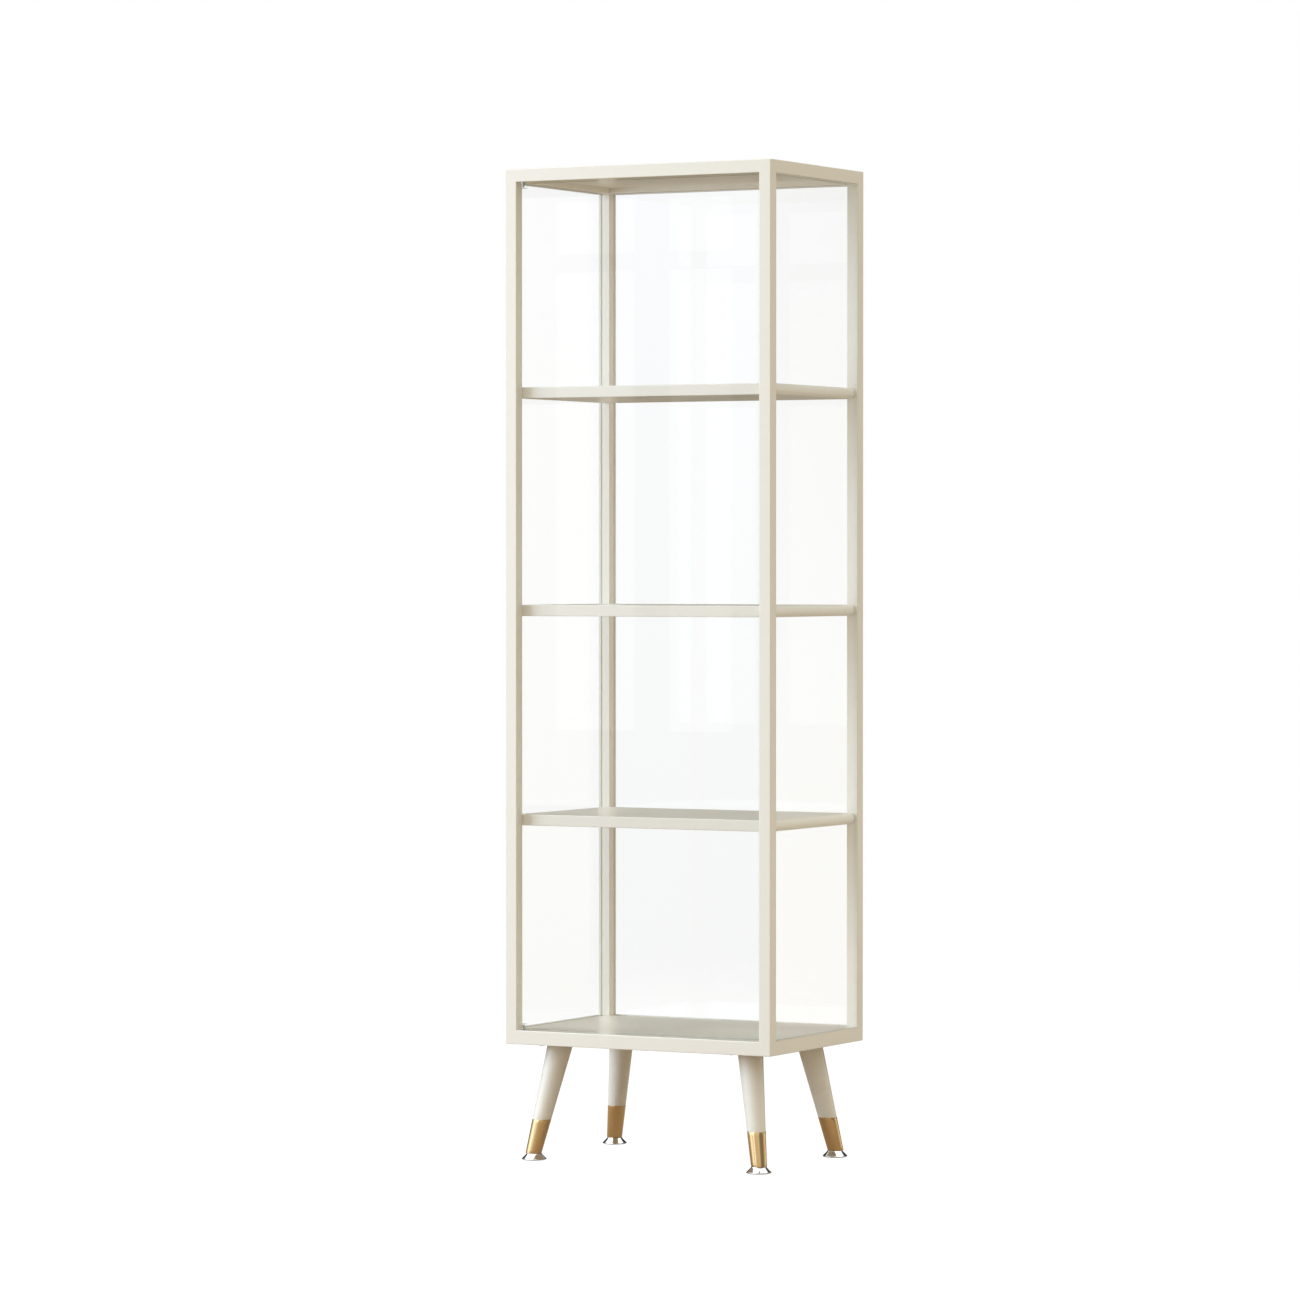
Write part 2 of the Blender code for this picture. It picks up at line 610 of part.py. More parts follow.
def build_leg(corner, x_sign, y_sign, trim, collar):
    axis = leg_axis(f"leg_axis_{corner}", x_sign, y_sign)
    low, high, length = axis_heights()
    foot = (x_sign * FOOT_XY[0], y_sign * FOOT_XY[1], 0)
    stem_hole = cut_rod(f"stem_bore_{corner}", STEM_R + FIT_GAP, STEM_Z[1] + 3 * OVER, foot,
                        (0, 0, 1), STEM_SIDES)
    leg = place(f"leg_{corner}", turned_mesh("leg", leg_profile(low, high, length)), "leg",
                parent=axis)
    turn(leg, LEG_SIDES)
    cut(leg, trim)
    cut(leg, stem_hole)
    above = mm(8)
    cut(leg, cut_rod(f"stud_bore_{corner}", STUD_R + FIT_GAP, STUD_L + STUD_ROOT + 2 * OVER + above,
                     (0, 0, length + above), (0, 0, -1), parent=axis))
    ferrule = place(f"ferrule_{corner}", turned_mesh("ferrule", ferrule_profile(low, high)),
                    "ferrule", parent=axis)
    turn(ferrule, LEG_SIDES)
    combine(ferrule, collar, "INTERSECT")
    cut(ferrule, stem_hole)
    stem = place(f"foot_stem_{corner}", turned_mesh("foot_stem", stem_profile()), "foot_stem",
                 location=foot)
    turn(stem, STEM_SIDES)
    pad = place(f"foot_pad_{corner}", turned_mesh("foot_pad", pad_profile()), "foot_pad",
                location=foot)
    turn(pad, PAD_SIDES)
    build_plate(corner, x_sign, y_sign, axis, length)


def build_plate(corner, x_sign, y_sign, axis, length):
    """Steel plate screwed under the base board, with a slanted stud for the leg."""
    width, depth, thick = PLATE
    x, y = x_sign * LEG_TOP_XY[0], y_sign * LEG_TOP_XY[1]
    top = BASE_Z - FIT_GAP
    plate = box_between(f"leg_plate_{corner}", (x - width / 2, y - depth / 2, top - thick),
                        (x + width / 2, y + depth / 2, top), place, look="leg_plate")
    corners_round = plate.modifiers.new("corners", "BEVEL")
    corners_round.width = PLATE_CORNER
    corners_round.segments = 2
    corners_round.limit_method = "WEIGHT"
    weights = plate.data.attributes.new("bevel_weight_edge", "FLOAT", "EDGE")
    for edge in plate.data.edges:
        ends = [plate.data.vertices[i].co for i in edge.vertices]
        weights.data[edge.index].value = float(abs(ends[0].z - ends[1].z) > thick / 2)
    add(plate, cut_rod(f"stud_{corner}", STUD_R, STUD_L, (0, 0, length - STUD_ROOT), (0, 0, -1),
                       parent=axis))
    hole_at = width / 2 - SCREW_INSET
    for number, (sx, sy) in enumerate(((1, 1), (1, -1), (-1, 1), (-1, -1)), start=1):
        start = (x + sx * hole_at, y + sy * hole_at, top + OVER)
        cut(plate, cut_rod(f"screw_hole_{corner}_{number}", SCREW_HOLE_R, thick + 2 * OVER, start,
                           (0, 0, -1)))


def build_legs():
    reach = mm(40)
    trim = box_between("leg_trim", (-HALF_W - reach, -HALF_D - reach, BASE_Z - PLATE[2] - 2 * FIT_GAP),
                       (HALF_W + reach, HALF_D + reach, BASE_Z + reach), guide)
    collar = box_between("ferrule_slab", (-HALF_W - reach, -HALF_D - reach, FERRULE_Z[0]),
                         (HALF_W + reach, HALF_D + reach, FERRULE_Z[1]), guide)
    for end, y_sign in ENDS.items():
        for side, x_sign in SIDES.items():
            build_leg(f"{end}_{side}", x_sign, y_sign, trim, collar)


# ---------------------------------------------------------------- assembly
def build():
    blank = frame_blank()
    base = build_base(blank)
    build_top(blank)
    build_posts(blank)
    build_shelves()
    build_panes()
    swing = build_door(base)
    build_latch(swing)
    build_legs()


build()
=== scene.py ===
"""Looks of the tower display case: lacquer, glass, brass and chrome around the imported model."""
import math

import bmesh
import bpy
from mathutils import Matrix, Vector


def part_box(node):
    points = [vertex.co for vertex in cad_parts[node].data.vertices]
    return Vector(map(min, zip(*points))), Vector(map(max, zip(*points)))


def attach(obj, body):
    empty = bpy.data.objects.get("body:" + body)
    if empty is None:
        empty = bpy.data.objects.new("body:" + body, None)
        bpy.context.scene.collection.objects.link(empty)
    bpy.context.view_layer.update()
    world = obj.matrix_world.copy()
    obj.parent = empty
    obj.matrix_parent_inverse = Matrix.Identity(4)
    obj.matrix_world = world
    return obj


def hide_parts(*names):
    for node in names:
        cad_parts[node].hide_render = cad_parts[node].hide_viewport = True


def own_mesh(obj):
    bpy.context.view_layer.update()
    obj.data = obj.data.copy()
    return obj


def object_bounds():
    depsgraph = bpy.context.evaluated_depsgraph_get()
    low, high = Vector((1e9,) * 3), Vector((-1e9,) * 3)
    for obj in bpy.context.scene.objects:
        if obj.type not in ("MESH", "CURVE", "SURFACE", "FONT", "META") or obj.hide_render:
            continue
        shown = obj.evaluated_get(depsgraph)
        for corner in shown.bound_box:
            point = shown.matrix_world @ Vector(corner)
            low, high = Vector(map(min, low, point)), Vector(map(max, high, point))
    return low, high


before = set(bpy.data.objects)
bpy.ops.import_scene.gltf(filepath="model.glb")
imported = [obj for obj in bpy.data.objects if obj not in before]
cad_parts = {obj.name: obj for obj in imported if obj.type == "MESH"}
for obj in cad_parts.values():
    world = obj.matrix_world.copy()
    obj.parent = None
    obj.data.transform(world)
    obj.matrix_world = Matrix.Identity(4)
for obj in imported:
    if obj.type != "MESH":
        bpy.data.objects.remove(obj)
CAD_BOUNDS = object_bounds()

scene = bpy.context.scene
scene.view_settings.view_transform = "Standard"
scene.view_settings.look = "None"


def mm(value):
    return value / 1000


# ---------------------------------------------------------------- places, read from the frame
CORNERS = {"front_left": (-1, -1), "front_right": (1, -1), "rear_left": (-1, 1), "rear_right": (1, 1)}
case_low, case_high = CAD_BOUNDS
CASE_W = case_high.x - case_low.x
board_low, board_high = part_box("base_board")
rail_low, rail_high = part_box("top_rail_front")
POST = rail_high.y - rail_low.y
GAP = mm(0.3)             # space that the frame leaves between two touching members
SIDES = 96                # sides of the fine turned pieces
LATCH_SIDES = 64          # sides of the small turned pieces of the latch
FILLET_STEPS = 5
THREAD_PITCH = mm(1)
STEM_BORE_R = mm(3.4)     # upright bore of a ferrule
SPIGOT = mm(6)            # how far a leg goes into its ferrule
FLANGE = mm(0.95)         # thickness of the latch flange


def middle_of(node):
    low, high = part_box(node)
    return (low + high) / 2


# ---------------------------------------------------------------- camera
def build_camera():
    """A long lens in front, to the right, at about half the height of the case."""
    data = bpy.data.cameras.new("camera")
    data.lens = 147.3
    data.sensor_width = 36.0
    data.clip_start, data.clip_end = 0.1, 200
    cam = bpy.data.objects.new("camera", data)
    scene.collection.objects.link(cam)
    cam.location = Vector((8.4651, -15.8067, 1.6215)) * CASE_W + Vector((0, 0, board_low.z))
    cam.rotation_euler = (math.radians(90 - 0.952), 0, math.radians(28.548))
    scene.camera = cam


# ---------------------------------------------------------------- light
BELOW = (0.480, 0.406, 0.267)     # studio fill: under the horizon, over it, and overhead
ABOVE = (0.745, 0.750, 0.725)
HIGH = (1.310, 1.305, 1.250)
DAYLIGHT = (0.606, 0.745, 1.0)
TAN = (0.40, 0.32, 0.235)         # floor, as everything but the camera sees it
HORIZON, OVERHEAD, ZENITH = (-0.35, 0.45), (0.25, 0.75), (0.5, 0.95)     # where the fill changes
KEY_WATTS, WINDOW_GLOW = 246, 0.5
FLOOR_R, FLOOR_FADE = 6, (0.9, 4.5)          # metres; the fade runs between two distances
GLASS_HEAD_ON = 0.03              # share that a pane mirrors when it is seen square on
CARDS = (                         # what only glossy surfaces see: direction, degrees, tint
    ((-0.62, -0.60, 0.52), 46, (2.70, 3.10, 4.00)),
    ((0.97, -0.10, 0.10), 36, (0.34, 0.33, 0.33)),
    ((-0.60, 0.75, 0.18), 48, (0.02, 0.02, 0.02)),
    ((0.00, 0.93, 0.30), 36, (0.05, 0.045, 0.04)),
    ((-0.48, -0.88, 0.00), 15, (0.48, 0.46, 0.48)),
    ((0.48, 0.88, 0.00), 15, (2.00, 2.00, 2.10)),
)


class Tree:
    """Adds nodes and links to one node tree."""

    def __init__(self, tree):
        self.nodes, self.links = tree.nodes, tree.links

    def add(self, kind, **values):
        node = self.nodes.new(kind)
        for key, value in values.items():
            if key in node.inputs:
                node.inputs[key].default_value = value
            else:
                setattr(node, key, value)
        return node

    def link(self, source, target):
        self.links.new(source, target)

    def math(self, operation, first, second):
        node = self.add("ShaderNodeMath", operation=operation)
        for socket, value in zip(node.inputs, (first, second)):
            if isinstance(value, (int, float)):
                socket.default_value = value
            else:
                self.link(value, socket)
        return node.outputs[0]

    def blend(self, factor, first, second, mode="MIX"):
        """Mix two colours; each is a tuple or a socket."""
        node = self.add("ShaderNodeMix", data_type="RGBA", blend_type=mode)
        self.link(factor, node.inputs["Factor"])
        for socket, value in ((node.inputs["A"], first), (node.inputs["B"], second)):
            if isinstance(value, tuple):
                socket.default_value = (*value, 1)
            else:
                self.link(value, socket)
        return node.outputs["Result"]

    def ramp(self, value, start, end, low=0.0, high=1.0):
        """Smooth step from low to high while the value goes from start to end."""
        node = self.add("ShaderNodeMapRange")
        node.interpolation_type = "SMOOTHSTEP"
        for name, number in (("From Min", start), ("From Max", end), ("To Min", low), ("To Max", high)):
            node.inputs[name].default_value = number
        self.link(value, node.inputs["Value"])
        return node.outputs["Result"]


def build_world():
    """White behind the case; a dimmer studio for light and reflections."""
    world = bpy.data.worlds.new("studio")
    scene.world = world
    world.use_nodes = True
    world.node_tree.nodes.clear()
    tree = Tree(world.node_tree)
    direction = tree.add("ShaderNodeTexCoord").outputs["Generated"]
    height = tree.add("ShaderNodeSeparateXYZ")
    tree.link(direction, height.inputs[0])
    fill = tree.blend(tree.ramp(height.outputs["Z"], *HORIZON), BELOW, ABOVE)
    fill = tree.blend(tree.ramp(height.outputs["Z"], *OVERHEAD), fill, HIGH)
    mirrored = tree.blend(tree.ramp(height.outputs["Z"], *ZENITH), fill, (1.5, 1.5, 1.5), "MULTIPLY")
    for towards, degrees, tint in CARDS:
        dot = tree.add("ShaderNodeVectorMath", operation="DOT_PRODUCT")
        tree.link(direction, dot.inputs[0])
        dot.inputs[1].default_value = Vector(towards).normalized()
        edge, core = (math.cos(math.radians(degrees * share)) for share in (1.0, 0.6))
        mirrored = tree.blend(tree.ramp(dot.outputs["Value"], edge, core), mirrored, tint, "MULTIPLY")
    path = tree.add("ShaderNodeLightPath")
    seen = tree.add("ShaderNodeBackground", Color=(1, 1, 1, 1), Strength=1.0)
    studio = tree.add("ShaderNodeBackground", Strength=1.0)
    tree.link(tree.blend(path.outputs["Is Glossy Ray"], fill, mirrored), studio.inputs["Color"])
    mix = tree.add("ShaderNodeMixShader")
    tree.link(path.outputs["Is Camera Ray"], mix.inputs["Fac"])
    tree.link(studio.outputs[0], mix.inputs[1])
    tree.link(seen.outputs[0], mix.inputs[2])
    tree.link(mix.outputs[0], tree.add("ShaderNodeOutputWorld").inputs["Surface"])


def area(name, location, target, size, power, color, glossy=False):
    """A soft box that lights the case, or, when glossy, one that shows in reflections only."""
    data = bpy.data.lights.new(name, "AREA")
    data.shape = "RECTANGLE"
    data.size, data.size_y = size
    data.energy = power
    data.color = color
    light = bpy.data.objects.new(name, data)
    scene.collection.objects.link(light)
    light.location = location
    light.rotation_euler = (Vector(target) - Vector(location)).to_track_quat("-Z", "Y").to_euler()
    light.visible_camera = False
    light.visible_glossy = glossy
    light.visible_diffuse = not glossy


def build_lights():
    middle = (0, 0, 0.85)
    area("left_key", (-3.9, -2.9, 1.75), middle, (3.2, 2.7), KEY_WATTS, DAYLIGHT)
    window_x, window_z = ((-2.44, -2.22), (-2.12, -1.95)), ((1.725, 1.855), (0.55, 1.68))
    for i, (left, right) in enumerate(window_x):
        for j, (low, high) in enumerate(window_z):
            size = (right - left, high - low)
            place = Vector(((left + right) / 2, -4.2, (low + high) / 2))
            area(f"window_{i}_{j}", place, place + Vector((0, 1, 0)), size,
                 math.pi * size[0] * size[1] * WINDOW_GLOW, (0.97, 0.99, 1.0), glossy=True)


def build_floor():
    """Pale floor that fades out some way off; the case itself is lit as if by a tan studio floor."""
    mesh = bpy.data.meshes.new("floor")
    bm = bmesh.new()
    bmesh.ops.create_circle(bm, cap_ends=True, segments=SIDES, radius=FLOOR_R)
    bm.to_mesh(mesh)
    bm.free()
    floor = bpy.data.objects.new("floor", mesh)
    scene.collection.objects.link(floor)
    floor.location.z = -mm(0.2)
    material = bpy.data.materials.new("floor")
    material.use_nodes = True
    tree = Tree(material.node_tree)
    pale = tree.nodes["Principled BSDF"]
    pale.inputs["Base Color"].default_value = (0.08, 0.08, 0.08, 1)
    pale.inputs["Roughness"].default_value = 0.9
    pale.inputs["Specular IOR Level"].default_value = 0.1
    pale.inputs["Emission Color"].default_value = (1, 1, 1, 1)
    pale.inputs["Emission Strength"].default_value = 0.955
    tan = tree.add("ShaderNodeBsdfDiffuse", Color=(*TAN, 1))
    seen = tree.add("ShaderNodeMixShader")
    tree.link(tree.add("ShaderNodeLightPath").outputs["Is Camera Ray"], seen.inputs["Fac"])
    tree.link(tan.outputs[0], seen.inputs[1])
    tree.link(pale.outputs[0], seen.inputs[2])
    far = tree.add("ShaderNodeVectorMath", operation="LENGTH")
    tree.link(tree.add("ShaderNodeTexCoord").outputs["Object"], far.inputs[0])
    clear = tree.add("ShaderNodeBsdfTransparent", Color=(1, 1, 1, 1))
    mix = tree.add("ShaderNodeMixShader")
    tree.link(tree.ramp(far.outputs["Value"], *FLOOR_FADE), mix.inputs["Fac"])
    tree.link(seen.outputs[0], mix.inputs[1])
    tree.link(clear.outputs[0], mix.inputs[2])
    tree.link(mix.outputs[0], tree.nodes["Material Output"].inputs["Surface"])
    mesh.materials.append(material)


# ---------------------------------------------------------------- materials
class Maker(Tree):
    """One material, built around its Principled shader."""

    def __init__(self, name):
        self.material = bpy.data.materials.new(name)
        self.material.use_nodes = True
        super().__init__(self.material.node_tree)
        self.shader = self.nodes["Principled BSDF"]

    def position(self, scale=(1, 1, 1)):
        mapping = self.add("ShaderNodeMapping", Scale=scale)
        self.link(self.add("ShaderNodeTexCoord").outputs["Object"], mapping.inputs["Vector"])
        return mapping.outputs["Vector"]

    def noise(self, place, scale, detail=3.0, roughness=0.5):
        node = self.add("ShaderNodeTexNoise", Scale=scale, Detail=detail, Roughness=roughness)
        self.link(place, node.inputs["Vector"])
        return node.outputs["Fac"]

    def bump(self, height, strength, distance):
        node = self.add("ShaderNodeBump", Strength=strength, Distance=distance)
        self.link(height, node.inputs["Height"])
        if self.shader.inputs["Normal"].is_linked:
            self.link(self.shader.inputs["Normal"].links[0].from_socket, node.inputs["Normal"])
        self.link(node.outputs["Normal"], self.shader.inputs["Normal"])

    def see_through(self, tint):
        """Replace the shader with a clear pane that reflects more at a glancing angle."""
        self.nodes.remove(self.shader)
        through = self.add("ShaderNodeBsdfTransparent", Color=(*tint, 1))
        mirror = self.add("ShaderNodeBsdfGlossy", Color=(1, 1, 1, 1), Roughness=0.0)
        facing = self.add("ShaderNodeLayerWeight", Blend=0.5).outputs["Facing"]
        glancing = self.math("MULTIPLY", self.math("POWER", facing, 5.0), 1 - GLASS_HEAD_ON)
        schlick = self.math("ADD", glancing, GLASS_HEAD_ON)
        mix = self.add("ShaderNodeMixShader")
        self.link(schlick, mix.inputs["Fac"])
        self.link(through.outputs[0], mix.inputs[1])
        self.link(mirror.outputs[0], mix.inputs[2])
        return mix.outputs[0]


def lacquer(name, base, deep, along, roughness=0.34):
    """Satin lacquer over wood: slow drift of tone, brushed grain along one axis, orange peel."""
    make = Maker(name)
    place = make.position()
    drift = make.noise(place, 6.0)
    speck = make.noise(place, 90.0, 4.0, 0.6)
    tone = make.blend(drift, base, deep)
    pale = tuple(min(value * 1.03, 1.0) for value in base)
    tone = make.blend(make.ramp(speck, 0.55, 0.75, 0.0, 0.5), tone, pale)
    make.link(tone, make.shader.inputs["Base Color"])
    make.link(make.ramp(drift, 0.3, 0.7, roughness - 0.05, roughness + 0.06),
              make.shader.inputs["Roughness"])
    stretch = tuple(12 if axis == along else 260 for axis in "xyz")
    make.bump(make.noise(make.position(stretch), 1.0, 5.0, 0.6), 0.10, mm(0.2))
    make.bump(make.noise(place, 700.0, 2.0), 0.06, mm(0.1))
    make.shader.inputs["Coat Weight"].default_value = 0.10
    make.shader.inputs["Coat Roughness"].default_value = 0.16
    return make.material


def clear_glass(name, tint):
    """A thin clear pane, or a clear plastic."""
    make = Maker(name)
    make.link(make.see_through(tint), make.nodes["Material Output"].inputs["Surface"])
    return make.material


def sealant(name, base, deep):
    """Tooled silicone: soft sheen and a slightly uneven bead."""
    make = Maker(name)
    place = make.position()
    make.link(make.blend(make.noise(place, 14.0), base, deep), make.shader.inputs["Base Color"])
    make.shader.inputs["Roughness"].default_value = 0.42
    make.bump(make.noise(make.position((60, 60, 60)), 4.0), 0.2, mm(0.2))
    return make.material


def metal(name, base, deep, roughness, turned_lines=0.0, coat=0.0):
    """Polished or plated metal with faint smears and, if asked, level lathe lines."""
    make = Maker(name)
    make.shader.inputs["Metallic"].default_value = 1.0
    smear = make.noise(make.position((1, 1, 0.35)), 55.0, 4.0, 0.6)
    make.link(make.blend(make.ramp(smear, 0.35, 0.7), base, deep), make.shader.inputs["Base Color"])
    make.link(make.ramp(smear, 0.3, 0.7, max(roughness - 0.03, 0.02), roughness + 0.05),
              make.shader.inputs["Roughness"])
    make.shader.inputs["Coat Weight"].default_value = coat
    make.shader.inputs["Coat IOR"].default_value = 1.9
    if turned_lines:
        make.bump(make.noise(make.position((8, 8, 3200)), 1.0, 2.0), turned_lines, mm(0.05))
    return make.material


def plastic(name, base, deep):
    make = Maker(name)
    place = make.position()
    make.link(make.blend(make.noise(place, 40.0), base, deep), make.shader.inputs["Base Color"])
    make.shader.inputs["Roughness"].default_value = 0.42
    make.bump(make.noise(place, 1800.0, 1.0), 0.15, mm(0.04))
    return make.material


def bare_wood(name, base, deep, along):
    make = Maker(name)
    stretch = tuple(30 if axis == along else 420 for axis in "xyz")
    grain = make.noise(make.position(stretch), 1.0, 6.0, 0.65)
    make.link(make.blend(make.ramp(grain, 0.35, 0.65), base, deep), make.shader.inputs["Base Color"])
    make.shader.inputs["Roughness"].default_value = 0.65
    make.bump(grain, 0.3, mm(0.2))
    return make.material


CREAM, CREAM_DEEP = (0.800, 0.752, 0.645), (0.785, 0.735, 0.625)
cream_up = lacquer("cream_lacquer_upright", CREAM, CREAM_DEEP, "z")
cream_wide = lacquer("cream_lacquer_wide", CREAM, CREAM_DEEP, "x")
cream_deep = lacquer("cream_lacquer_side", CREAM, CREAM_DEEP, "y")
cream_leg = lacquer("cream_lacquer_leg", (0.79, 0.745, 0.64), (0.765, 0.715, 0.60), "z", 0.30)
cream_paint = lacquer("cream_paint", CREAM, CREAM_DEEP, "z", 0.40)
pane_glass = clear_glass("clear_glass", (0.997, 1.0, 0.999))
edge_glass = clear_glass("polished_glass_edge", (0.95, 0.985, 0.975))
polycarbonate = clear_glass("clear_polycarbonate", (0.985, 0.99, 0.985))
silicone = sealant("cream_silicone", (0.81, 0.765, 0.66), (0.79, 0.74, 0.63))
brass = metal("brass", (0.77, 0.51, 0.205), (0.74, 0.48, 0.18), 0.19, 0.03, coat=1.0)
chrome = metal("chrome", (0.86, 0.86, 0.87), (0.80, 0.80, 0.82), 0.035)
steel = metal("turned_steel", (0.60, 0.60, 0.60), (0.50, 0.50, 0.51), 0.28, 0.3)
zinc = metal("zinc_plate", (0.62, 0.63, 0.64), (0.50, 0.51, 0.53), 0.36)
nylon = plastic("grey_nylon", (0.30, 0.30, 0.30), (0.26, 0.26, 0.26))
ivory_plastic = plastic("ivory_plastic", (0.79, 0.75, 0.66), (0.77, 0.73, 0.64))
beech = bare_wood("beech", (0.66, 0.47, 0.29), (0.52, 0.34, 0.19), "y")


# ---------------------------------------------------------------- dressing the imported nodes
def smooth(mesh, degrees):
    """Smooth shading, with the edges sharper than an angle left crisp."""
    mesh.shade_smooth()
    mesh.set_sharp_from_angle(angle=math.radians(degrees))
    return mesh


def round_shading(obj):
    """Smooth the small faces of rounded edges while the flat faces stay flat."""
    smooth(obj.data, 50)
    weighted = obj.modifiers.new("weighted", "WEIGHTED_NORMAL")
    weighted.keep_sharp = True


def dress(prefixes, material):
    for node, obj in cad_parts.items():
        if node.startswith(prefixes):
            obj.data.materials.clear()
            obj.data.materials.append(material)
            round_shading(obj)


def dress_glass():
    """Clear faces, and greener polished edges all round."""
    for node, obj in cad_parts.items():
        if "glass" not in node:
            continue
        low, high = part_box(node)
        size = high - low
        thin = min(range(3), key=lambda axis: size[axis])
        obj.data.materials.clear()
        obj.data.materials.append(pane_glass)
        obj.data.materials.append(edge_glass)
        for face in obj.data.polygons:
            face.material_index = 0 if abs(face.normal[thin]) > 0.9 else 1


# ---------------------------------------------------------------- making pieces
def rings_mesh(name, rings, closed=False, degrees=35):
    """A skin over rings of points; a ring may be a single point, and closed joins last to first."""
    mesh = bpy.data.meshes.new(name)
    bm = bmesh.new()
    rows = [[bm.verts.new(point) for point in ring] for ring in rings]
    for low, high in zip(rows, rows[1:] + (rows[:1] if closed else [])):
        count = max(len(low), len(high))
        for i in range(count):
            j = (i + 1) % count
            if count == 1:
                continue
            if len(low) == 1:
                bm.faces.new((low[0], high[j], high[i]))
            elif len(high) == 1:
                bm.faces.new((low[i], low[j], high[0]))
            else:
                bm.faces.new((low[i], low[j], high[j], high[i]))
    bmesh.ops.recalc_face_normals(bm, faces=bm.faces)
    bm.to_mesh(mesh)
    bm.free()
    return smooth(mesh, degrees)


def circle(centre, radius, sides, along, across):
    """A ring of points, or a single point where the radius is nothing."""
    if radius < mm(0.001):
        return [Vector(centre)]
    angles = (2 * math.pi * i / sides for i in range(sides))
    return [Vector(centre) + radius * (math.cos(a) * along + math.sin(a) * across) for a in angles]


def turned(name, profile, centre, axis="z", sides=SIDES, closed=False):
    """A turned piece from (radius, distance along the axis) pairs."""
    along = Vector((0, 0, 1)) if axis == "z" else Vector((0, 1, 0))
    u = Vector((1, 0, 0))
    v = along.cross(u)
    rings = [circle(Vector(centre) + along * at, radius, sides, u, v) for radius, at in profile]
    return rings_mesh(name, rings, closed)


def add_piece(name, mesh, material, body, stands_for=()):
    piece = bpy.data.objects.new(name, mesh)
    scene.collection.objects.link(piece)
    if not mesh.materials:
        mesh.materials.append(material)
    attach(piece, body)
    if stands_for:
        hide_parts(*stands_for)
    return piece


def joined(name, sources):
    """One mesh from (mesh, matrix) pairs."""
    mesh = bpy.data.meshes.new(name)
    bm = bmesh.new()
    for source, matrix in sources:
        part = source.copy()
        part.transform(matrix)
        bm.from_mesh(part)
        bpy.data.meshes.remove(part)
    bm.to_mesh(mesh)
    bm.free()
    return smooth(mesh, 35)


def round_box(name, low, high, radius, segments=4, along=None, degrees=50):
    """A block with rounded edges, or with only its edges along one axis rounded."""
    low, high = Vector(low), Vector(high)
    mesh = bpy.data.meshes.new(name)
    bm = bmesh.new()
    bmesh.ops.create_cube(bm, size=1.0)
    bmesh.ops.scale(bm, vec=high - low, verts=bm.verts)
    bmesh.ops.translate(bm, vec=(low + high) / 2, verts=bm.verts)
    edges = bm.edges[:]
    if along:
        axis = "xyz".index(along)
        edges = [e for e in edges if abs((e.verts[0].co - e.verts[1].co)[axis]) > mm(0.1)]
    bmesh.ops.bevel(bm, geom=edges, offset=radius, segments=segments, profile=0.5, affect="EDGES")
    bm.to_mesh(mesh)
    bm.free()
    return smooth(mesh, degrees)


def fillet(radius_from, at_from, radius_to, at_to, outward=True):
    """Quarter round between two profile points; outward puts the bulge on the outer corner."""
    points = []
    for i in range(FILLET_STEPS + 1):
        angle = math.pi / 2 * i / FILLET_STEPS
        if outward:
            a, b = math.sin(angle), 1 - math.cos(angle)
        else:
            a, b = 1 - math.cos(angle), math.sin(angle)
        points.append((radius_from + (radius_to - radius_from) * a, at_from + (at_to - at_from) * b))
    return points


# ---------------------------------------------------------------- frame joints
def build_joint_lines():
    """The lacquered glue lines that close the frame's joints, a hair below the surface."""
    sunk, rounding = mm(0.06), mm(1)
    half_w, half_d = CASE_W / 2, case_high.y
    for corner, (sx, sy) in CORNERS.items():
        xs = sorted((sx * (half_w - sunk), sx * (half_w - POST + sunk)))
        ys = sorted((sy * (half_d - sunk), sy * (half_d - POST + sunk)))
        for end, z in (("foot", board_high.z), ("head", rail_low.z)):
            mesh = round_box(f"glue_line_{end}_{corner}", (xs[0], ys[0], z - GAP),
                             (xs[1], ys[1], z + GAP), rounding, along="z", degrees=40)
            add_piece(mesh.name, mesh, cream_up, "case")
        y = sy * (half_d - POST)
        mesh = round_box(f"glue_line_rail_{corner}", (xs[0], y - GAP, rail_low.z + sunk),
                         (xs[1], y + GAP, rail_high.z - sunk), rounding, along="y", degrees=40)
        add_piece(mesh.name, mesh, cream_up, "case")


def build_panel_line():
    """Fill of the joint round the top panel: four strips just below the top face."""
    top = case_high.z - mm(0.15)
    inner_x, inner_y = CASE_W / 2 - POST, case_high.y - POST
    strips = {
        "left": ((-inner_x - GAP, -inner_y, 0), (-inner_x + GAP, inner_y, 0)),
        "right": ((inner_x - GAP, -inner_y, 0), (inner_x + GAP, inner_y, 0)),
        "front": ((-inner_x, -inner_y - GAP, 0), (inner_x, -inner_y + GAP, 0)),
        "rear": ((-inner_x, inner_y - GAP, 0), (inner_x, inner_y + GAP, 0)),
    }
    for side, (low, high) in strips.items():
        low, high = Vector(low), Vector(high)
        low.z, high.z = top - mm(1), top
        mesh = round_box(f"panel_line_{side}", low, high, mm(0.05), 1)
        add_piece(mesh.name, mesh, cream_wide, "case")


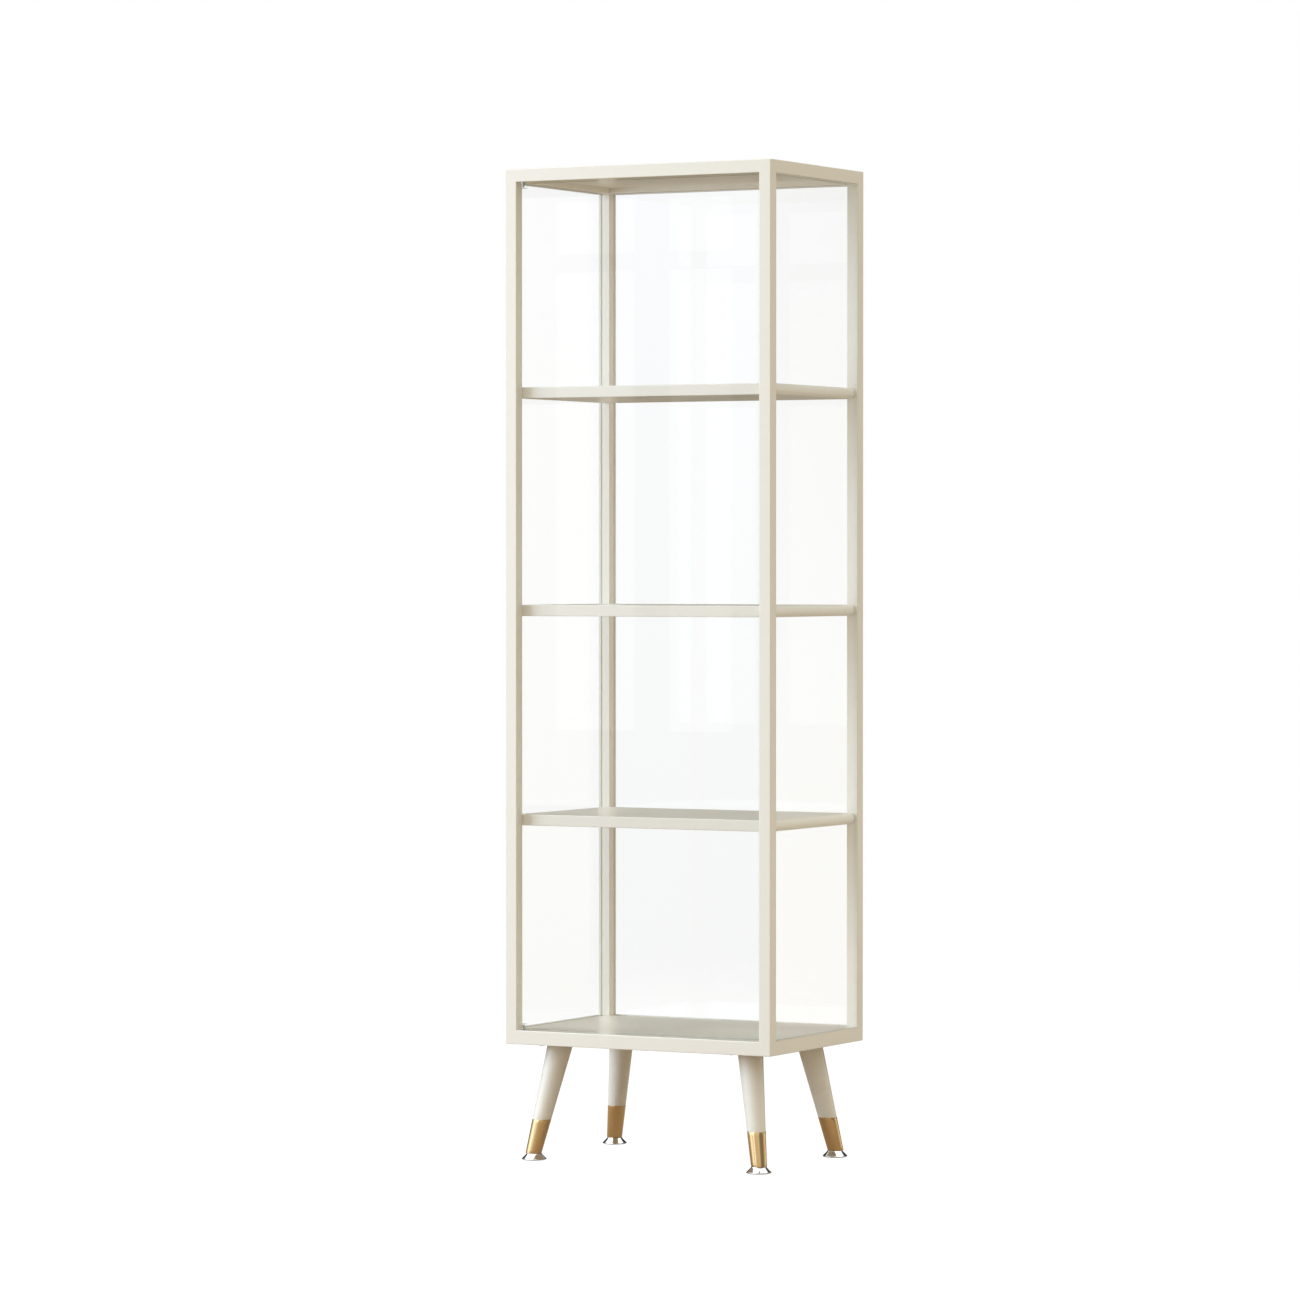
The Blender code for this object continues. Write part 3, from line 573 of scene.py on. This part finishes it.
# ---------------------------------------------------------------- legs, ferrules and feet
class Leg:
    """Axis of one splayed leg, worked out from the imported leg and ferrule."""

    def __init__(self, corner):
        self.corner = corner
        self.foot = middle_of(f"foot_pad_{corner}")
        self.ferrule_low, self.ferrule_high = (value.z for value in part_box(f"ferrule_{corner}"))
        self.low = level_middle(f"ferrule_{corner}", self.ferrule_low)
        self.high = level_middle(f"leg_{corner}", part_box(f"leg_{corner}")[1].z)
        run = self.high - self.low
        level = Vector((run.x, run.y, 0))
        self.along = level.normalized() * (run.length / run.z)
        self.across = Vector((0, 0, 1)).cross(level.normalized())

    def centre(self, z):
        return self.low + (self.high - self.low) * (z - self.low.z) / (self.high.z - self.low.z)

    def ring(self, z, radius):
        """A level slice through the slanted round leg."""
        return circle(self.centre(z), radius, SIDES, self.along, self.across)

    def radius(self, node, z, reach):
        """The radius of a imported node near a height, measured across the lean of the leg."""
        found = [abs((v.co - self.centre(v.co.z)).dot(self.across))
                 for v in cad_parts[node].data.vertices if abs(v.co.z - z) < reach]
        return max(found)


def level_middle(node, z):
    """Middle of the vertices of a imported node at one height."""
    points = [v.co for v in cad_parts[node].data.vertices if abs(v.co.z - z) < mm(0.1)]
    return Vector(((min(p.x for p in points) + max(p.x for p in points)) / 2,
                   (min(p.y for p in points) + max(p.y for p in points)) / 2, z))


def leg_piece(leg):
    """Lacquered wooden leg, shouldered at the ferrule, with a socket for the stud of its plate."""
    node = f"leg_{leg.corner}"
    high = leg.high.z
    top_r = leg.radius(node, high, mm(4))
    shoulder = leg.ferrule_high + mm(0.1)
    collar_r = leg.radius(f"ferrule_{leg.corner}", leg.ferrule_high, mm(3)) - mm(0.2)
    taper = (top_r - collar_r) / (high - shoulder)
    inside = shoulder - SPIGOT
    spigot_r = collar_r - mm(1)
    rings = [[leg.centre(inside)], leg.ring(inside, spigot_r), leg.ring(shoulder, spigot_r)]
    for radius, z in fillet(collar_r - mm(0.3), shoulder, collar_r, shoulder + mm(0.3)):
        rings.append(leg.ring(z, radius))
    for i in range(1, 12):
        z = shoulder + (high - shoulder) * i / 12
        rings.append(leg.ring(z, collar_r + taper * (z - shoulder)))
    rounding = mm(0.8)
    for radius, z in fillet(top_r - taper * rounding, high - rounding, top_r - rounding, high,
                            outward=False):
        rings.append(leg.ring(z, radius))
    stud_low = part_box(f"leg_plate_{leg.corner}")[0].z
    socket_r = leg.radius(f"leg_plate_{leg.corner}", stud_low, mm(3)) + mm(0.3)
    floor = stud_low - mm(1)
    rings += [leg.ring(high, socket_r), leg.ring(floor, socket_r), [leg.centre(floor)]]
    add_piece(f"turned_leg_{leg.corner}", rings_mesh("turned_leg", rings), cream_leg, "case",
              [node])


def ferrule_piece(leg):
    """Spun brass cup with a thin softened lip and a rounded foot."""
    node = f"ferrule_{leg.corner}"
    low, high = leg.ferrule_low, leg.ferrule_high
    low_r, high_r = leg.radius(node, low, mm(2)), leg.radius(node, high, mm(2))

    def at(z):
        return low_r + (high_r - low_r) * (z - low) / (high - low)

    wall, cup = mm(0.75), high - SPIGOT - mm(0.5)

    def plumb(z):
        """A slice of the upright bore that the stem runs in."""
        middle = Vector((leg.foot.x, leg.foot.y, z))
        return circle(middle, STEM_BORE_R, SIDES, leg.along.normalized(), leg.across)

    outer = fillet(low_r - mm(0.7), low, low_r, low + mm(0.7))
    outer += [(at(low + (high - low) * i / 10), low + (high - low) * i / 10) for i in range(1, 10)]
    outer += fillet(at(high), high - mm(0.3), at(high) - mm(0.3), high, outward=False)
    inner = [(at(high) - wall, high - mm(0.25)), (at(cup) - wall, cup)]
    rings = [plumb(low), *(leg.ring(z, radius) for radius, z in outer + inner), plumb(cup)]
    add_piece(f"spun_ferrule_{leg.corner}", rings_mesh("spun_ferrule", rings, closed=True), brass,
              "case", [node])


def pad_piece(leg):
    """Chromed bell of a foot, and the nylon glide that it stands on."""
    node = f"foot_pad_{leg.corner}"
    low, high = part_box(node)
    rim_r, top = (high.x - low.x) / 2, high.z
    bore, base, rim = mm(3.3), mm(0.7), mm(2.0)
    centre = Vector((leg.foot.x, leg.foot.y, 0))
    neck_r = max((v.co - centre).xy.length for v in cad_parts[node].data.vertices
                 if abs(v.co.z - top) < mm(0.6))
    profile = [(bore, base), (rim_r - mm(1.2), base)]
    profile += fillet(rim_r - mm(0.5), base, rim_r, base + mm(0.5))
    profile += fillet(rim_r, rim - mm(0.5), rim_r - mm(0.35), rim, outward=False)
    steps = 14
    for i in range(1, steps):
        t = i / steps
        flare = (1 - t) ** 1.12
        profile.append((neck_r + (rim_r - mm(0.35) - neck_r) * flare, rim + (top - mm(0.5) - rim) * t))
    profile += fillet(neck_r, top - mm(0.5), neck_r - mm(0.5), top, outward=False)
    profile += [(bore + mm(0.8), top), (bore, top - mm(0.6))]
    add_piece(f"chrome_foot_{leg.corner}", turned("chrome_foot", profile, centre, closed=True), chrome,
              f"pad_{leg.corner}", [node])
    glide_r = rim_r - mm(1.3)
    glide = [(0, 0), *fillet(glide_r - mm(0.4), 0, glide_r, mm(0.4)),
             (glide_r, base - mm(0.02)), (0, base - mm(0.02))]
    add_piece(f"nylon_glide_{leg.corner}", turned("nylon_glide", glide, centre), nylon,
              f"pad_{leg.corner}")


def stem_piece(leg):
    """M6 stem with a real helical thread."""
    node = f"foot_stem_{leg.corner}"
    low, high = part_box(node)
    centre = Vector((leg.foot.x, leg.foot.y, 0))
    outer_r, depth, sides, per_pitch = (high.x - low.x) / 2, mm(0.42), 24, 6
    count = round((high.z - low.z) / THREAD_PITCH * per_pitch)
    rings = [[Vector((centre.x, centre.y, low.z))]]
    for i in range(count + 1):
        z = low.z + (high.z - low.z) * i / count
        end = min(z - low.z, high.z - z)
        limit = outer_r - max(mm(0.7) - end, 0)
        ring = []
        for k in range(sides):
            phase = (z / THREAD_PITCH - k / sides) % 1.0
            radius = min(outer_r - depth * abs(2 * phase - 1), limit)
            angle = 2 * math.pi * k / sides
            x, y = centre.x + radius * math.cos(angle), centre.y + radius * math.sin(angle)
            ring.append(Vector((x, y, z)))
        rings.append(ring)
    rings.append([Vector((centre.x, centre.y, high.z))])
    add_piece(f"threaded_stem_{leg.corner}", rings_mesh("threaded_stem", rings, degrees=50), steel,
              f"stem_{leg.corner}", [node])


def screw_head_mesh(radius, height):
    """Pan head with a cross recess, its seat at the origin and its crown towards +Z."""
    profile = [(0, 0), (radius, 0),
               *fillet(radius, height * 0.35, radius * 0.45, height, outward=False), (0, height)]
    head = bpy.data.objects.new("head", turned("head", profile, (0, 0, 0), sides=32))
    scene.collection.objects.link(head)
    cutters = []
    for turn in (0, math.pi / 2):
        low = Vector((-radius * 0.62, -radius * 0.13, height * 0.45))
        high = (-low.x, -low.y, height * 1.6)
        bar = bpy.data.objects.new("bar", round_box("bar", low, high, mm(0.05), 1))
        bar.rotation_euler.z = turn
        scene.collection.objects.link(bar)
        cut = head.modifiers.new("recess", "BOOLEAN")
        cut.object, cut.operation, cut.solver = bar, "DIFFERENCE", "EXACT"
        cutters.append(bar)
    bpy.context.view_layer.update()
    evaluated = head.evaluated_get(bpy.context.evaluated_depsgraph_get())
    mesh = bpy.data.meshes.new_from_object(evaluated)
    for obj in (head, *cutters):
        bpy.data.objects.remove(obj, do_unlink=True)
    return mesh


def plate_screws(leg, head):
    """Four screws that hold the leg plate to the underside of the base board."""
    low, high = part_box(f"leg_plate_{leg.corner}")
    inset = mm(5.5)
    under = board_low.z - GAP - mm(2.5)
    flip = Matrix.Rotation(math.pi, 4, "X")
    sources = []
    for i, x in enumerate((low.x + inset, high.x - inset)):
        for j, y in enumerate((low.y + inset, high.y - inset)):
            spin = Matrix.Rotation(0.5 + 1.1 * i + 0.7 * j, 4, "Z")
            sources.append((head, Matrix.Translation((x, y, under)) @ spin @ flip))
    add_piece(f"plate_screws_{leg.corner}", joined("plate_screws", sources), zinc, "case")


def build_legs():
    head = screw_head_mesh(mm(3.4), mm(1.7))
    for corner in CORNERS:
        leg = Leg(corner)
        leg_piece(leg)
        ferrule_piece(leg)
        pad_piece(leg)
        stem_piece(leg)
        plate_screws(leg, head)


# ---------------------------------------------------------------- door fittings
def front_end(node):
    """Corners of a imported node, and the front end of its axis."""
    low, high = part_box(node)
    return low, high, Vector(((low.x + high.x) / 2, low.y, (low.z + high.z) / 2))


def build_latch():
    """Push latch: flanged barrel, plunger with a magnet at its tip, coil spring and a domed strike."""
    low, high, centre = front_end("latch_body")
    flange_r, barrel_r, bore = (high.x - low.x) / 2, mm(5), mm(3.3)
    length, floor = high.y - low.y, mm(3)
    profile = [(bore, mm(0.4)), (bore + mm(0.4), 0),
               *fillet(flange_r - mm(0.6), 0, flange_r, mm(0.6)), (flange_r, FLANGE),
               (barrel_r, FLANGE), (barrel_r, length - mm(0.5)), (barrel_r - mm(0.5), length),
               (0, length)]
    inner = [(0, length - floor), (bore, length - floor)]
    mesh = turned("latch_barrel", profile + inner, centre, "y", LATCH_SIDES, closed=True)
    add_piece("latch_barrel", mesh, ivory_plastic, "case", ["latch_body"])

    low, high, centre = front_end("latch_plunger")
    rod_r, length = (high.x - low.x) / 2, high.y - low.y
    tip, groove_r = mm(2), rod_r - mm(0.25)
    profile = [(0, tip + mm(0.02)), (rod_r, tip + mm(0.02)), (rod_r, tip + mm(0.8)),
               (groove_r, tip + mm(1)), (groove_r, tip + mm(1.4)), (rod_r, tip + mm(1.6)),
               (rod_r, length - mm(0.6)), (rod_r - mm(0.6), length), (0, length)]
    add_piece("plunger_rod", turned("plunger_rod", profile, centre, "y", LATCH_SIDES), ivory_plastic,
              "latch_button", ["latch_plunger"])
    profile = [(0, 0), *fillet(rod_r - mm(0.5), 0, rod_r - mm(0.05), mm(0.5)),
               (rod_r - mm(0.05), tip), (0, tip)]
    add_piece("plunger_magnet", turned("plunger_magnet", profile, centre, "y", LATCH_SIDES), steel,
              "latch_button")

    low, high, centre = front_end("latch_strike")
    disc_r, thick = (high.x - low.x) / 2, high.y - low.y
    profile = [(0, 0), (disc_r, 0),
               *fillet(disc_r, thick - mm(0.4), disc_r - mm(0.4), thick, outward=False), (0, thick)]
    add_piece("strike_disc", turned("strike_disc", profile, centre, "y", LATCH_SIDES), cream_paint,
              "door", ["latch_strike"])
    build_spring()


def build_spring():
    """The coil behind the plunger; in the real latch it shortens as the plunger goes in."""
    low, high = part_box("latch_spring")
    centre = (low + high) / 2
    wire, turns, per_turn, sides = mm(0.25), 7, 24, 8
    coil_r = (high.x - low.x) / 2 - wire
    count = turns * per_turn
    rings = []
    for i in range(count + 1):
        angle = 2 * math.pi * i / per_turn
        out = Vector((math.cos(angle), 0, math.sin(angle)))
        y = low.y + wire + (high.y - low.y - 2 * wire) * i / count
        middle = Vector((centre.x, y, centre.z)) + coil_r * out
        rings.append(circle(middle, wire, sides, out, Vector((0, 1, 0))))
    rings = [[Vector(rings[0][0] + rings[0][sides // 2]) / 2], *rings,
             [Vector(rings[-1][0] + rings[-1][sides // 2]) / 2]]
    coil = add_piece("coil_spring", rings_mesh("coil_spring", rings), steel, "case",
                     ["latch_spring"])
    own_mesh(coil)


# ---------------------------------------------------------------- build
build_camera()
build_world()
build_lights()
build_floor()

dress(("post",), cream_up)
dress(("top_rail_front", "top_rail_rear", "top_panel", "base_board", "shelf"), cream_wide)
dress(("top_rail_left", "top_rail_right"), cream_deep)
dress(("hinge_block",), polycarbonate)
dress(("seal",), silicone)
dress(("dowel",), beech)
dress(("hinge_pin",), steel)
dress(("leg_plate",), zinc)
dress_glass()
build_joint_lines()
build_panel_line()
build_legs()
build_latch()
